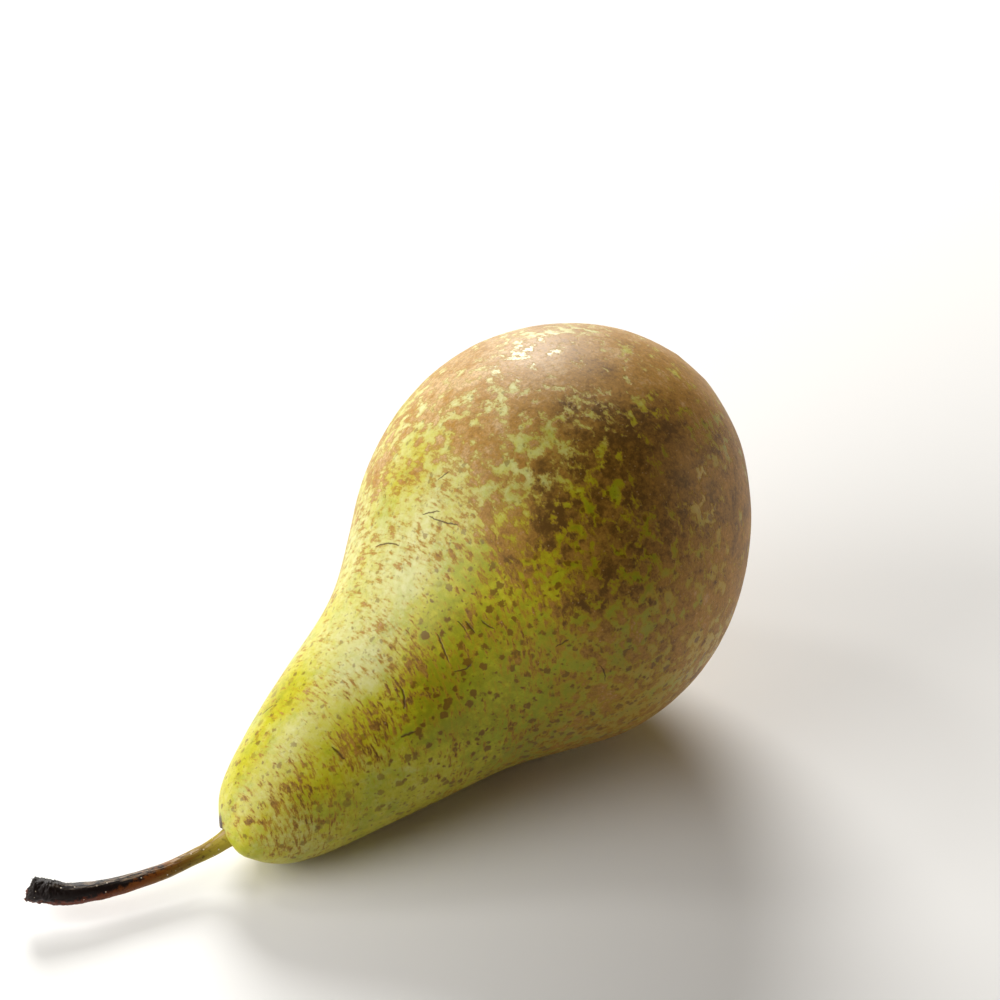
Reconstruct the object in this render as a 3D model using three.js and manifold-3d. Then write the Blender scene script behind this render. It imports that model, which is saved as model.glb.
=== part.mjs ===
// A long-necked Conference pear lying on its side, as three solids: the fruit, its stem and its calyx.
// Millimetres, +Z up. The origin is the middle of the small flat spot under the belly, where the
// pear rests on the table. +X runs from the stem end to the blossom end.
//
// The fruit has its own coordinates: "along" is the distance from the stem end down its axis,
// "radius" the distance from that axis, and "angle" turns about it from +Y towards +Z.

import * as THREE from 'three';
import { mergeVertices } from 'three/addons/utils/BufferGeometryUtils.js';
import Module from 'manifold-3d';

// ---------------------------------------------------------------- driving dimensions

// The skin's outline from the stem end to the basin at the blossom end, as [along, radius].
const SKIN_OUTLINE = [
  [0.0, 3.2], [0.6, 5.1], [4.5, 8.8], [13.0, 12.4], [27.0, 16.5], [40.0, 20.3], [50.0, 25.7],
  [60.0, 31.0], [72.0, 33.4], [84.7, 31.6], [95.6, 26.0], [103.7, 18.0], [108.0, 10.6],
  [108.7, 7.6], [107.5, 5.3], [106.2, 3.7],
];
const BLOSSOM_END = 108.2;
const SKIN_STEPS = 42;
const SKIN_SIDES = 64;

// How far the middle of the fruit strays from its straight axis, as [sideways, up], at six even
// stations from the stem end to the blossom end: the neck bends, as it does on a tree-grown pear.
const AXIS_BEND = [[1.4, 0.6], [0.4, -1.0], [-1.3, -2.6], [-1.4, -2.5], [-0.6, -1.2], [0, 0]];

// The round belly has three soft lobes, which fade out towards the neck.
const LOBE_SHARE = 0.012;
const LOBE_TURN = 0.8;

// The flesh rises in a lip on one side of the stem.
const LIP_SLANT = 0.34;
const LIP_ANGLE = THREE.MathUtils.degToRad(126);
const LIP_REACH = 9;

// The pit that the stem grows out of, set off the fruit's axis by a little.
const PIT_RADIUS = 2.0;
const PIT_DEPTH = 7.0;
const PIT_MOUTH = 0.9;
const PIT_SIDEWAYS = 0.6;
const PIT_UP = 1.5;

// The hole at the bottom of the basin, which holds the dried calyx.
const CALYX_HOLE_MOUTH = 105.7;
const CALYX_HOLE_FLOOR = 102.6;
const CALYX_HOLE_RADIUS = 2.4;
const CALYX_MOUTH_RADIUS = 2.8;

// How the fruit lies: the blossom end is propped up by the belly, and the neck tip comes down.
const LEAN = THREE.MathUtils.degToRad(24.78);
const AXIS_STATION = 75;
const AXIS_POINT = new THREE.Vector3(2.0, 1.5, 36.65);

// Pieces that touch on the real fruit keep this much room between them.
const CLEARANCE = 0.35;

// The stem's middle line from the neck tip outwards, and its radius at even steps from its foot in
// the pit to the cut end.
const STEM_COURSE = [
  [-70.6, 5.3, 5.7], [-74.1, 6.5, 4.9], [-78.4, 7.5, 4.4], [-83.7, 9.2, 4.2], [-88.7, 11.0, 4.3],
  [-93.2, 13.5, 4.6], [-96.0, 16.1, 5.2], [-98.1, 18.3, 5.7],
];
const STEM_RADII = [
  1.5, 1.6, 1.62, 1.38, 1.3, 1.28, 1.3, 1.35, 1.42, 1.55, 1.72, 1.85, 2.05, 2.18, 1.8,
];
const STEM_STEPS = 34;
const STEM_SIDES = 14;

// The calyx: a small dried cup with five curled sepals.
const CUP_RADIUS = 1.9;
const CUP_WALL = 0.7;
const CUP_RIM = 106.6;
const CUP_HOLLOW = 105.2;
const CUP_SIDES = 20;
const SEPAL_COUNT = 5;
const SEPAL_THICKNESS = 0.8;
const SEPAL_STEPS = 8;
// One sepal's middle line, as [along, radius], and its half width at even steps along it.
const SEPAL_COURSE = [[106.0, 1.5], [107.0, 3.0], [108.4, 4.7], [109.9, 5.6], [110.7, 5.0]];
const SEPAL_HALF_WIDTHS = [1.0, 1.3, 1.35, 1.1, 0.75, 0.3];

// ---------------------------------------------------------------- the fruit's own coordinates

const axisBend = new THREE.SplineCurve(AXIS_BEND.map(([side, up]) => new THREE.Vector2(side, up)));

// A point given in the fruit's coordinates, in the frame of the table that the pear lies on.
function onTable(along, radius, angle) {
  const share = THREE.MathUtils.clamp(along / BLOSSOM_END, 0, 1);
  const bend = axisBend.getPoint(share);
  const swollen = radius * (1 + LOBE_SHARE * Math.sin(3 * angle + LOBE_TURN) * share);
  const rise = LIP_SLANT * swollen * Math.cos(angle - LIP_ANGLE);
  const slanted = along - rise * Math.exp(-Math.max(along, 0) / LIP_REACH);
  const nearPit = (1 - THREE.MathUtils.smoothstep(radius, PIT_RADIUS + 0.2, 4.9))
    * (1 - THREE.MathUtils.smoothstep(along, 10, 20));
  const point = new THREE.Vector3(
    slanted - AXIS_STATION,
    swollen * Math.cos(angle) + bend.x + PIT_SIDEWAYS * nearPit,
    swollen * Math.sin(angle) + bend.y + PIT_UP * nearPit,
  );
  return point.applyAxisAngle(new THREE.Vector3(0, 1, 0), -LEAN).add(AXIS_POINT);
}

// Bends a lathed solid, whose height is the distance along the fruit, into its place on the table.
function layOnTable(geometry) {
  const positions = geometry.attributes.position;
  for (let i = 0; i < positions.count; i += 1) {
    const radius = Math.hypot(positions.getX(i), positions.getZ(i));
    const angle = Math.atan2(positions.getX(i), positions.getZ(i));
    const point = onTable(positions.getY(i), radius, angle);
    positions.setXYZ(i, point.x, point.y, point.z);
  }
  return geometry;
}

// Presses everything that would sink into the table flat against it.
function pressOnTable(geometry) {
  const positions = geometry.attributes.position;
  for (let i = 0; i < positions.count; i += 1) {
    positions.setZ(i, Math.max(positions.getZ(i), 0));
  }
  return geometry;
}

function lathed(outline, sides) {
  const points = outline.map(([along, radius]) => new THREE.Vector2(radius, along));
  return layOnTable(new THREE.LatheGeometry(points, sides));
}

function curveThrough(pairs) {
  return new THREE.SplineCurve(pairs.map(([first, second]) => new THREE.Vector2(first, second)));
}

// A smooth value at a share of the way through a list of values at even steps.
function valueAt(values, share) {
  return curveThrough(values.map((value, step) => [step, value])).getPoint(share).y;
}

// ---------------------------------------------------------------- flesh and skin

function fruitGeometry() {
  const skin = curveThrough(SKIN_OUTLINE).getPoints(SKIN_STEPS).map((p) => [p.x, p.y]);
  const outline = [
    [PIT_DEPTH, 0],
    [PIT_DEPTH, PIT_RADIUS],
    [PIT_MOUTH, PIT_RADIUS],
    [PIT_MOUTH / 3, PIT_RADIUS + 0.5],
    ...skin,
    [CALYX_HOLE_MOUTH, CALYX_MOUTH_RADIUS],
    [CALYX_HOLE_FLOOR, CALYX_HOLE_RADIUS],
    [CALYX_HOLE_FLOOR, 0],
  ];
  return pressOnTable(lathed(outline, SKIN_SIDES));
}

// ---------------------------------------------------------------- stem

function stemCurve() {
  const foot = PIT_DEPTH - 2 * CLEARANCE;
  const inPit = [foot, foot / 2, 0].map((along) => onTable(along, 0, 0));
  const outside = STEM_COURSE.map((place) => new THREE.Vector3(...place));
  return new THREE.CatmullRomCurve3([...inPit, ...outside]);
}

// A lathed rod whose rings are carried along the stem's curve.
function stemGeometry() {
  const curve = stemCurve();
  const frames = curve.computeFrenetFrames(STEM_STEPS);
  const outline = [new THREE.Vector2(0, 0)];
  for (let step = 0; step <= STEM_STEPS; step += 1) {
    outline.push(new THREE.Vector2(valueAt(STEM_RADII, step / STEM_STEPS), step));
  }
  outline.push(new THREE.Vector2(0, STEM_STEPS));
  const geometry = new THREE.LatheGeometry(outline, STEM_SIDES);
  const positions = geometry.attributes.position;
  for (let i = 0; i < positions.count; i += 1) {
    const step = Math.round(positions.getY(i));
    const point = curve.getPointAt(step / STEM_STEPS);
    point.addScaledVector(frames.normals[step], positions.getZ(i));
    point.addScaledVector(frames.binormals[step], positions.getX(i));
    positions.setXYZ(i, point.x, point.y, point.z);
  }
  return geometry;
}

// ---------------------------------------------------------------- calyx

function cupGeometry() {
  const inside = CUP_RADIUS - CUP_WALL;
  return lathed([
    [CALYX_HOLE_FLOOR + CLEARANCE, 0],
    [CALYX_HOLE_FLOOR + CLEARANCE, CUP_RADIUS],
    [CUP_RIM, CUP_RADIUS],
    [CUP_RIM, inside],
    [CUP_HOLLOW, inside],
    [CUP_HOLLOW, 0],
  ], CUP_SIDES);
}

// One pointed, curled blade: a box whose slices follow the sepal's course and width.
function sepalGeometry(turn) {
  const course = curveThrough(SEPAL_COURSE);
  const blade = new THREE.BoxGeometry(2, SEPAL_THICKNESS, 1, 2, 1, SEPAL_STEPS);
  const positions = blade.attributes.position;
  for (let i = 0; i < positions.count; i += 1) {
    const share = positions.getZ(i) + 0.5;
    const middle = course.getPoint(share);
    const tangent = course.getTangent(share);
    const across = positions.getX(i) * valueAt(SEPAL_HALF_WIDTHS, share);
    const lift = positions.getY(i);
    const along = middle.x + lift * tangent.y;
    const outwards = middle.y - lift * tangent.x;
    const radius = Math.hypot(outwards, across);
    const point = onTable(along, radius, turn + Math.atan2(across, outwards));
    positions.setXYZ(i, point.x, point.y, point.z);
  }
  return blade;
}

const wasm = await Module();
wasm.setup();

function toSolid(geometry) {
  const bare = geometry.clone();
  bare.deleteAttribute('normal');
  bare.deleteAttribute('uv');
  const merged = mergeVertices(bare, 1e-4);
  return new wasm.Manifold(new wasm.Mesh({
    numProp: 3,
    vertProperties: new Float32Array(merged.attributes.position.array),
    triVerts: new Uint32Array(merged.index.array),
  }));
}

function toGeometry(solid) {
  const mesh = solid.getMesh();
  const geometry = new THREE.BufferGeometry();
  geometry.setAttribute('position', new THREE.BufferAttribute(mesh.vertProperties, 3));
  geometry.setIndex(new THREE.BufferAttribute(mesh.triVerts, 1));
  geometry.computeVertexNormals();
  return geometry;
}

function calyxGeometry() {
  let calyx = toSolid(cupGeometry());
  for (let i = 0; i < SEPAL_COUNT; i += 1) {
    calyx = calyx.add(toSolid(sepalGeometry(i * 2 * Math.PI / SEPAL_COUNT)));
  }
  return toGeometry(calyx);
}

// ---------------------------------------------------------------- assembly

function piece(name, geometry, color, roughness) {
  const material = new THREE.MeshStandardMaterial({ color, roughness, metalness: 0 });
  const mesh = new THREE.Mesh(geometry, material);
  mesh.name = name;
  return mesh;
}

const pear = new THREE.Group();
pear.add(
  piece('pear_body', fruitGeometry(), 0x9c8a45, 0.5),
  piece('stem', stemGeometry(), 0x4a3423, 0.8),
  piece('calyx', calyxGeometry(), 0x38261a, 0.9),
);

export default pear;
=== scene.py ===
# %% [markdown]
# # A Conference pear on its side
#
# This lesson dresses a plain solid pear: a fine skin with lacy brown russet, a woody stem and a
# dried calyx. The solid's shape and place are already right, so every piece here is wrapped over
# the solid or grown from it, and nothing is moved. Blender measures in metres, so a length is
# written in millimetres times MM. Tables and materials hold plain millimetres, and say so.

# %% Load the solid pear
import math

import bmesh
import bpy
import numpy as np
from mathutils import Matrix, Vector, noise
from mathutils.bvhtree import BVHTree


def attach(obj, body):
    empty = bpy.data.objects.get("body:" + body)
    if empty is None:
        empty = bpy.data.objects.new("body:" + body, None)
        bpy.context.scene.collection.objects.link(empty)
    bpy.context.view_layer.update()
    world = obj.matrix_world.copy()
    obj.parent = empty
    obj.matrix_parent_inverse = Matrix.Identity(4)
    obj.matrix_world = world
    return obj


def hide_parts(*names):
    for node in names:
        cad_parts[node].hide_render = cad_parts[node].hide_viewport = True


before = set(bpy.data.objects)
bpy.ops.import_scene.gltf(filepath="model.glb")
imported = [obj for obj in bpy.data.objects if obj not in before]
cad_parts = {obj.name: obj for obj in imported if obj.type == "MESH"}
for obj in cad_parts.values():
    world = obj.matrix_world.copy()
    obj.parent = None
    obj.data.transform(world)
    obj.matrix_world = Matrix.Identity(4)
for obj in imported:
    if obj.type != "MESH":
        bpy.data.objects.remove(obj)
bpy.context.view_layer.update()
MM = 0.001

# %% [markdown]
# ## The camera
#
# A long lens from about 70 cm away looks down on the fruit at 36 degrees, from the stem's side. A
# long lens keeps the belly and the neck in proportion, as the eye sees them across a table. The
# camera is set by its own three directions, so that the horizon stays level.

# %% Place the camera
VIEW_TURN = math.radians(-44.04)
VIEW_DROP = math.radians(36.0)
VIEW_DISTANCE = 700 * MM
SENSOR_WIDTH = 36.0
LENS = 151.06
LOOKED_AT = Vector((1.98, 1.5, 32.6)) * MM
AIM_RIGHT = -8.54 * MM
AIM_UP = 6.70 * MM


def place_camera():
    """A camera at the fruit's distance, aimed a little beside it so that the stem has room."""
    back = Vector((
        math.sin(VIEW_TURN) * math.cos(VIEW_DROP),
        -math.cos(VIEW_TURN) * math.cos(VIEW_DROP),
        math.sin(VIEW_DROP),
    ))
    right = Vector((math.cos(VIEW_TURN), math.sin(VIEW_TURN), 0))
    place = LOOKED_AT + VIEW_DISTANCE * back
    aim = LOOKED_AT + AIM_RIGHT * right + AIM_UP * back.cross(right)
    away = (place - aim).normalized()
    across = (right - right.dot(away) * away).normalized()
    camera = bpy.data.objects.new("camera", bpy.data.cameras.new("camera"))
    camera.data.sensor_width = SENSOR_WIDTH
    camera.data.lens = LENS
    turn = Matrix((across, away.cross(across), away)).transposed().to_4x4()
    camera.matrix_world = Matrix.Translation(place) @ turn
    bpy.context.scene.collection.objects.link(camera)
    bpy.context.scene.camera = camera
    return camera


camera = place_camera()
print("camera", round(camera.location.length / MM), "mm from the origin")

# %% [markdown]
# ## The fruit's own directions
#
# A pear has an axis, from the stem to the calyx. Everything on its skin is easiest to place by how
# far along that axis it is, and how far round. The axis is read off the solid: the calyx sits at
# one end, and the foot of the stem at the other. "Round" counts from the side (+Y) over the top.

# %% Read the axis from the stem and the calyx
FOOT_SLICE = 0.7 * MM
FOOT_DEPTH = 6.3 * MM


def corners_of(name):
    """The vertices of one solid, as rows of x, y, z."""
    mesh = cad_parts[name].data
    places = np.empty(len(mesh.vertices) * 3)
    mesh.vertices.foreach_get("co", places)
    return places.reshape(-1, 3)


def stem_foot():
    """The middle of the stem's end inside the fruit: its farthest vertices towards the belly."""
    places = corners_of("stem")
    deepest = places[:, 0].max()
    return Vector(places[places[:, 0] > deepest - FOOT_SLICE].mean(axis=0))


foot = stem_foot()
blossom = Vector(corners_of("calyx").mean(axis=0))
axis = (blossom - foot).normalized()
side = (Vector((0, 1, 0)) - axis.y * axis).normalized()
over = axis.cross(side)
if over.z < 0:
    over = -over
tip = foot - FOOT_DEPTH * axis
print("axis leans", round(math.degrees(math.asin(axis.z)), 1), "degrees,",
      round((blossom - tip).length / MM), "mm from tip to calyx")

# %% [markdown]
# ## A smooth guide under the skin
#
# The solid is made of flat facets, and a skin laid straight on it would show them. The facets
# could be blurred in the skin itself, but that would also round off the rim of the pit. So a copy
# of the solid has its triangles paired into four-sided faces and is smoothed by subdivision. It is
# never seen: it only guides the skin.

# %% Make the smooth guide
GUIDE_LEVELS = 2
WELD_REACH = 0.001 * MM
PAIRED_FOLD = math.radians(40)
PAIRED_SKEW = math.radians(60)


def smooth_guide(name):
    """A search tree of the solid, with its facets paired up and smoothed."""
    form = bmesh.new()
    form.from_mesh(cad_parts[name].data)
    bmesh.ops.remove_doubles(form, verts=form.verts, dist=WELD_REACH)
    bmesh.ops.join_triangles(
        form, faces=form.faces, angle_face_threshold=PAIRED_FOLD,
        angle_shape_threshold=PAIRED_SKEW,
    )
    mesh = bpy.data.meshes.new("guide")
    form.to_mesh(mesh)
    form.free()
    guide = bpy.data.objects.new("guide", mesh)
    bpy.context.scene.collection.objects.link(guide)
    smoothing = guide.modifiers.new("smoothing", "SUBSURF")
    smoothing.levels = GUIDE_LEVELS
    tree = BVHTree.FromObject(guide, bpy.context.evaluated_depsgraph_get())
    bpy.data.objects.remove(guide)
    return tree


guide = smooth_guide("pear_body")
print("guide ready")

# %% [markdown]
# ## The skin as a net
#
# The skin needs small even faces, a tidy map for its finish, and an easy count along and round the
# fruit. A ball pressed onto the fruit would crowd its faces at the neck. So a net of even rings is
# pulled in over the guide from outside, the way a stocking is pulled over a foot. Round the neck
# and the belly the rings fan out, so that they also close over both ends.

# %% Pull the net over the guide
RINGS = 320
SIDES = 300
NECK_CENTRE = 12 * MM
BELLY_CENTRE = 79 * MM
NECK_FAN = 11 * MM
BELLY_FAN = 29 * MM
START_OUTSIDE = 90 * MM
SEAM = -math.pi / 2


def net_rays():
    """Where each knot of the net is pulled to, and from which side, ring by ring."""
    neck_turn = NECK_FAN * math.pi / 2
    straight = BELLY_CENTRE - NECK_CENTRE
    belly_turn = BELLY_FAN * math.pi / 2
    path = np.linspace(0, neck_turn + straight + belly_turn, RINGS)
    slide = np.clip(path - neck_turn, 0, straight)
    tilt = np.where(path < neck_turn, path / neck_turn - 1, 0) * math.pi / 2
    tilt = tilt + np.clip(path - neck_turn - straight, 0, None) / BELLY_FAN
    turns = SEAM + np.arange(SIDES) * 2 * math.pi / SIDES
    outwards = np.outer(np.cos(turns), side) + np.outer(np.sin(turns), over)
    centres = np.array(tip) + np.outer(NECK_CENTRE + slide, axis)
    ahead = np.sin(tilt)[:, None, None] * np.array(axis)
    return centres, ahead + np.cos(tilt)[:, None, None] * outwards[None], turns


def pull_net(tree):
    """The net's knots on the guide, with the direction that each one was pulled along."""
    centres, directions, turns = net_rays()
    knots = np.empty((RINGS, SIDES, 3))
    for ring in range(RINGS):
        for step in range(SIDES):
            way = Vector(directions[ring, step])
            start = Vector(centres[ring]) + START_OUTSIDE * way
            knots[ring, step] = tree.ray_cast(start, -way)[0]
    return knots, directions, turns


knots, directions, turns = pull_net(guide)
print("net:", RINGS, "rings of", SIDES, "knots")

# %% [markdown]
# ## The stem's line
#
# The stem curves out of the neck and ends in a knob. The middle line of the solid stem could be
# used as it is, but its few straight parts would show. So the line is drawn again: a few points, a
# smooth curve through them, and a thickness that varies along it. It comes before the skin,
# because the skin closes round it.

# %% Draw the stem's line
# The line from inside the fruit to the knob, in mm, and the radius at even steps along it.
STEM_COURSE = (
    (-61.1, 3.3, 10.8), (-64.2, 3.4, 9.7), (-67.0, 3.6, 8.1), (-70.6, 5.3, 5.8),
    (-74.1, 6.5, 4.9), (-78.4, 7.5, 4.4), (-83.7, 9.2, 4.2), (-88.7, 11.0, 4.3),
    (-93.2, 13.5, 4.6), (-96.0, 16.1, 5.2), (-98.1, 18.3, 5.7),
)
STEM_RADII = (
    1.7, 1.85, 1.82, 1.46, 1.3, 1.25, 1.25, 1.3, 1.36, 1.45, 1.55, 1.66, 1.86, 2.15, 2.1,
)
STEM_RINGS = 300
CURVE_STEPS = 60


def smooth_line(points, count):
    """Even places on a smooth curve through the points, from one end to the other."""
    points = np.array(points, dtype=float)
    padded = np.vstack([2 * points[0] - points[1], points, 2 * points[-1] - points[-2]])
    places = []
    for first, start, end, last in zip(padded, padded[1:], padded[2:], padded[3:]):
        t = np.linspace(0, 1, CURVE_STEPS, endpoint=False)[:, None]
        places.append(start + 0.5 * t * (end - first + t * (
            2 * first - 5 * start + 4 * end - last + t * (3 * (start - end) + last - first))))
    places = np.vstack(places + [points[-1:]])
    run = np.append(0, np.cumsum(np.linalg.norm(np.diff(places, axis=0), axis=1)))
    even = np.linspace(0, run[-1], count)
    return np.stack([np.interp(even, run, places[:, part]) for part in range(3)], axis=1)


stem_line = smooth_line(STEM_COURSE, STEM_RINGS) * MM
stem_length = np.linalg.norm(np.diff(stem_line, axis=0), axis=1).sum()
print("stem line:", round(stem_length / MM), "mm")

# %% [markdown]
# ## Finding a place on the skin
#
# A mark on a fruit is easiest to name the way a grower would: so far down from the stem, and so
# far round. Each knot of the net is measured like that once. A place can then be asked for by two
# numbers, and the nearest knot answers.

# %% Measure each knot


def along_of(places):
    """How far each place is from the stem end, along the fruit's axis."""
    return (places - np.array(tip)) @ np.array(axis)


def from_axis(places):
    """How far each place is from the fruit's axis."""
    offset = places - np.array(tip)
    return np.linalg.norm(offset - np.outer(along_of(places), axis), axis=1)


flat_knots = knots.reshape(-1, 3)
along = along_of(flat_knots)
reach = from_axis(flat_knots)
ring_turns = np.tile(turns, RINGS)


def place_on_skin(along_mm, degrees):
    """The knot nearest to a place given by its distance along and its turn round the fruit."""
    turn = math.radians(degrees)
    off_turn = np.abs((ring_turns - turn + math.pi) % (2 * math.pi) - math.pi)
    miss = np.abs(along - along_mm * MM) + off_turn * reach
    return flat_knots[miss.argmin()]


print("skin runs from", round(along.min() / MM, 1), "to", round(along.max() / MM, 1), "mm")

# %% [markdown]
# ## Where the skin closes round the stem
#
# The flesh grows up round the stem unevenly: on one side it leaves a narrow dark gap, and on the
# other a collar of dry tissue reaches up to the wood. Both the relief and the finish need to know
# how near a place is to the stem and on which side, so this is measured once for every knot.

# %% Measure the gap to the stem
TIP_LIMIT = 8 * MM
STEM_FOOT_RADIUS = 1.5 * MM
LINE_STRIDE = 4
COLLAR_TURN = math.radians(32)
COLLAR_STARTS = 0.5
COLLAR_FADE = 0.35


def beside_stem(places):
    """How far each place is from the stem's surface, and how far it is on the collar's side."""
    gaps, share = np.ones(len(places)), np.zeros(len(places))
    near = along_of(places) < TIP_LIMIT
    misses = places[near][:, None] - stem_line[None, ::LINE_STRIDE]
    distances = np.linalg.norm(misses, axis=2)
    closest = np.arange(len(misses)), distances.argmin(axis=1)
    gaps[near] = distances[closest] - STEM_FOOT_RADIUS
    collar_way = math.cos(COLLAR_TURN) * np.array(side) + math.sin(COLLAR_TURN) * np.array(over)
    towards = misses[closest] @ collar_way / distances[closest]
    share[near] = np.clip((towards - COLLAR_STARTS) / COLLAR_FADE, 0, 1)
    return gaps, share


gap_to_stem, collar_share = beside_stem(flat_knots)
print("knots under the collar:", int((collar_share > 0).sum()))

# %% [markdown]
# ## Low relief
#
# A pear was never turned on a lathe. Its skin swells and sinks by a fraction of a millimetre over
# every couple of centimetres, puckers where it closes round the stem, bulges a little beside it,
# and folds into soft ribs in the basin round the calyx. Bumps in the material alone would leave the
# outline too clean, so this relief is real geometry. Where the fruit rests, the skin stays flat.

# %% Raise the relief
# Each wave: the size of its features, its height and its seed.
SWELL = (17 * MM, 0.30 * MM, 3)
RIPPLE = (4.5 * MM, 0.05 * MM, 8)
# Each set of folds: how many, their height, how far from the axis they lie and over what width.
PUCKERS = (7, 0.06 * MM, 3.4 * MM, 1.7 * MM)
RIBS = (10, 0.34 * MM, 6.0 * MM, 2.6 * MM)
FOLD_WANDER = 1.8
FOLD_WANDER_SIZE = 5 * MM
BASIN_START = 95 * MM
PIT_DEPTH, PIT_WIDTH = 0.5 * MM, 0.9 * MM
COLLAR_HEIGHT, COLLAR_WIDTH = 0.2 * MM, 1.6 * MM
BULGE_PLACE = (-1.1, 145)
BULGE_HEIGHT, BULGE_WIDTH = 1.0 * MM, 3.3 * MM
FLAT_BELOW = 1.5 * MM


def noise_over(places, size, seed):
    """Smooth noise in -1 to 1 at every place, with features of about the given size."""
    shift = Vector((seed, seed * 2, -seed))
    return np.array([noise.noise(Vector(place) / size + shift) for place in places])


def hump(distance, width):
    """1 at no distance, falling smoothly to 0 past the width."""
    return np.exp(-(distance / width) ** 2)


def folds(where, count, height, place, width):
    """Folds that radiate from the axis, strongest at one distance from it."""
    wander = FOLD_WANDER * noise_over(flat_knots, FOLD_WANDER_SIZE, count)
    ridge = np.cos(count * ring_turns + wander)
    return where * height * ridge * hump(reach - place, width)


def relief():
    """How far each knot is raised or sunk, in metres."""
    height = np.zeros(len(flat_knots))
    for size, wave_height, seed in (SWELL, RIPPLE):
        height += wave_height * noise_over(flat_knots, size, seed)
    height += folds(along < TIP_LIMIT, *PUCKERS)
    height += folds(along > BASIN_START, *RIBS)
    bulge_gap = np.linalg.norm(flat_knots - place_on_skin(*BULGE_PLACE), axis=1)
    height += BULGE_HEIGHT * hump(bulge_gap, BULGE_WIDTH)
    gap = np.clip(gap_to_stem, 0, None)
    height += COLLAR_HEIGHT * collar_share * hump(gap, COLLAR_WIDTH)
    return height - PIT_DEPTH * (1 - collar_share) * hump(gap, PIT_WIDTH)


def settle(places):
    """Keeps the flat resting spots flat, and everything above the table."""
    clear_of_table = np.clip(flat_knots[:, 2] / FLAT_BELOW, 0, 1)[:, None]
    settled = flat_knots + (places - flat_knots) * clear_of_table
    settled[:, 2] = np.maximum(settled[:, 2], 0)
    return settled


relief_heights = relief()
skin_places = settle(flat_knots + relief_heights[:, None] * directions.reshape(-1, 3))
print("relief up to", round(np.abs(relief_heights).max() / MM, 2), "mm")

# %% [markdown]
# ## Where the russet grows
#
# Russet is a corky brown layer that replaces the smooth green skin. On this kind of pear it nearly
# covers the blossom end, breaks up into lace over the belly, and is only dots and streaks on the
# neck. It could be painted on a picture, but a picture is fixed to one map and one size. Here the
# amount is a smooth field: values given at places on the skin, blended between them, with
# small extra patches on the neck. The lace itself comes later, in the material.

# %% Set the amount of russet
# Each row: distance along in mm, degrees round, amount from 0 to 1.
RUSSET_AMOUNTS = (
    (5, 90, 0.05), (5, 180, 0.05), (5, -60, 0.10), (20, 100, 0.05), (20, 180, 0.05),
    (20, -40, 0.15), (36, 80, 0.05), (36, 175, 0.05), (38, -60, 0.25), (43, 160, 0.05),
    (44, 180, 0.15), (46, 110, 0.05), (46, 140, 0.05), (46, -150, 0.35), (50, 20, 0.35),
    (50, 165, 0.20), (50, -110, 0.40), (52, 85, 0.10), (52, 130, 0.10), (53, 65, 0.20),
    (54, 95, 0.20), (54, 145, 0.50), (54, 165, 0.45), (54, -175, 0.50), (58, 105, 0.45),
    (58, 135, 0.80), (59, 55, 0.60), (60, 155, 0.50), (60, -165, 0.65), (61, 75, 0.10),
    (61, 100, 0.50), (61, 170, 0.60), (62, 175, 0.75), (64, 105, 0.80), (65, 125, 0.60),
    (66, 10, 0.60), (66, -70, 0.75), (67, 85, 0.75), (67, 145, 0.80), (71, 130, 0.75),
    (71, 165, 0.65), (72, 175, 0.85), (74, 75, 0.65), (74, 105, 0.95), (74, 115, 0.45),
    (77, 90, 0.55), (78, 155, 0.80), (80, 60, 0.95), (80, 100, 0.95), (82, 10, 0.85),
    (82, 140, 0.95), (82, -80, 0.95), (84, 120, 0.95), (90, 90, 0.90), (92, 120, 0.98),
    (92, 180, 0.98), (92, -60, 0.95), (106, 90, 0.98), (106, -90, 0.98),
)
LEAST_RUSSET, MOST_RUSSET = 0.02, 0.985
FIELD_BLEND = 4 * MM
# Each row: distance along in mm, degrees round, radius in mm, amount at its middle.
RUSSET_PATCHES = (
    (9, 135, 3.5, 0.75), (5, 130, 2.0, 0.30), (14, 135, 2.0, 0.35), (20, 140, 2.0, 0.50),
    (26, 140, 2.0, 0.50), (31, 140, 2.0, 0.45), (35, 110, 2.0, 0.35), (38, 105, 1.5, 0.25),
    (43, 130, 2.0, 0.25), (25, 85, 2.0, 0.25), (27, 75, 1.5, 0.20),
)


def blended(rows):
    """A smooth field over the net that takes each row's value at its place."""
    total = np.zeros(len(flat_knots))
    weight = np.zeros(len(flat_knots))
    for along_mm, degrees, value in rows:
        gap = np.linalg.norm(flat_knots - place_on_skin(along_mm, degrees), axis=1)
        pull = (gap ** 2 + FIELD_BLEND ** 2) ** -2
        total += pull * value
        weight += pull
    return total / weight


def russet_amount():
    """The blended amounts with the patches laid over them."""
    field = blended(RUSSET_AMOUNTS)
    for along_mm, degrees, radius_mm, amount in RUSSET_PATCHES:
        gap = np.linalg.norm(flat_knots - place_on_skin(along_mm, degrees), axis=1)
        field += (amount - field) * np.exp(-(gap / (radius_mm * MM)) ** 2 / 2)
    return np.clip(field, LEAST_RUSSET, MOST_RUSSET)


russet_field = russet_amount()
print("russet covers", round(100 * russet_field.mean()), "percent of the net on average")
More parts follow.
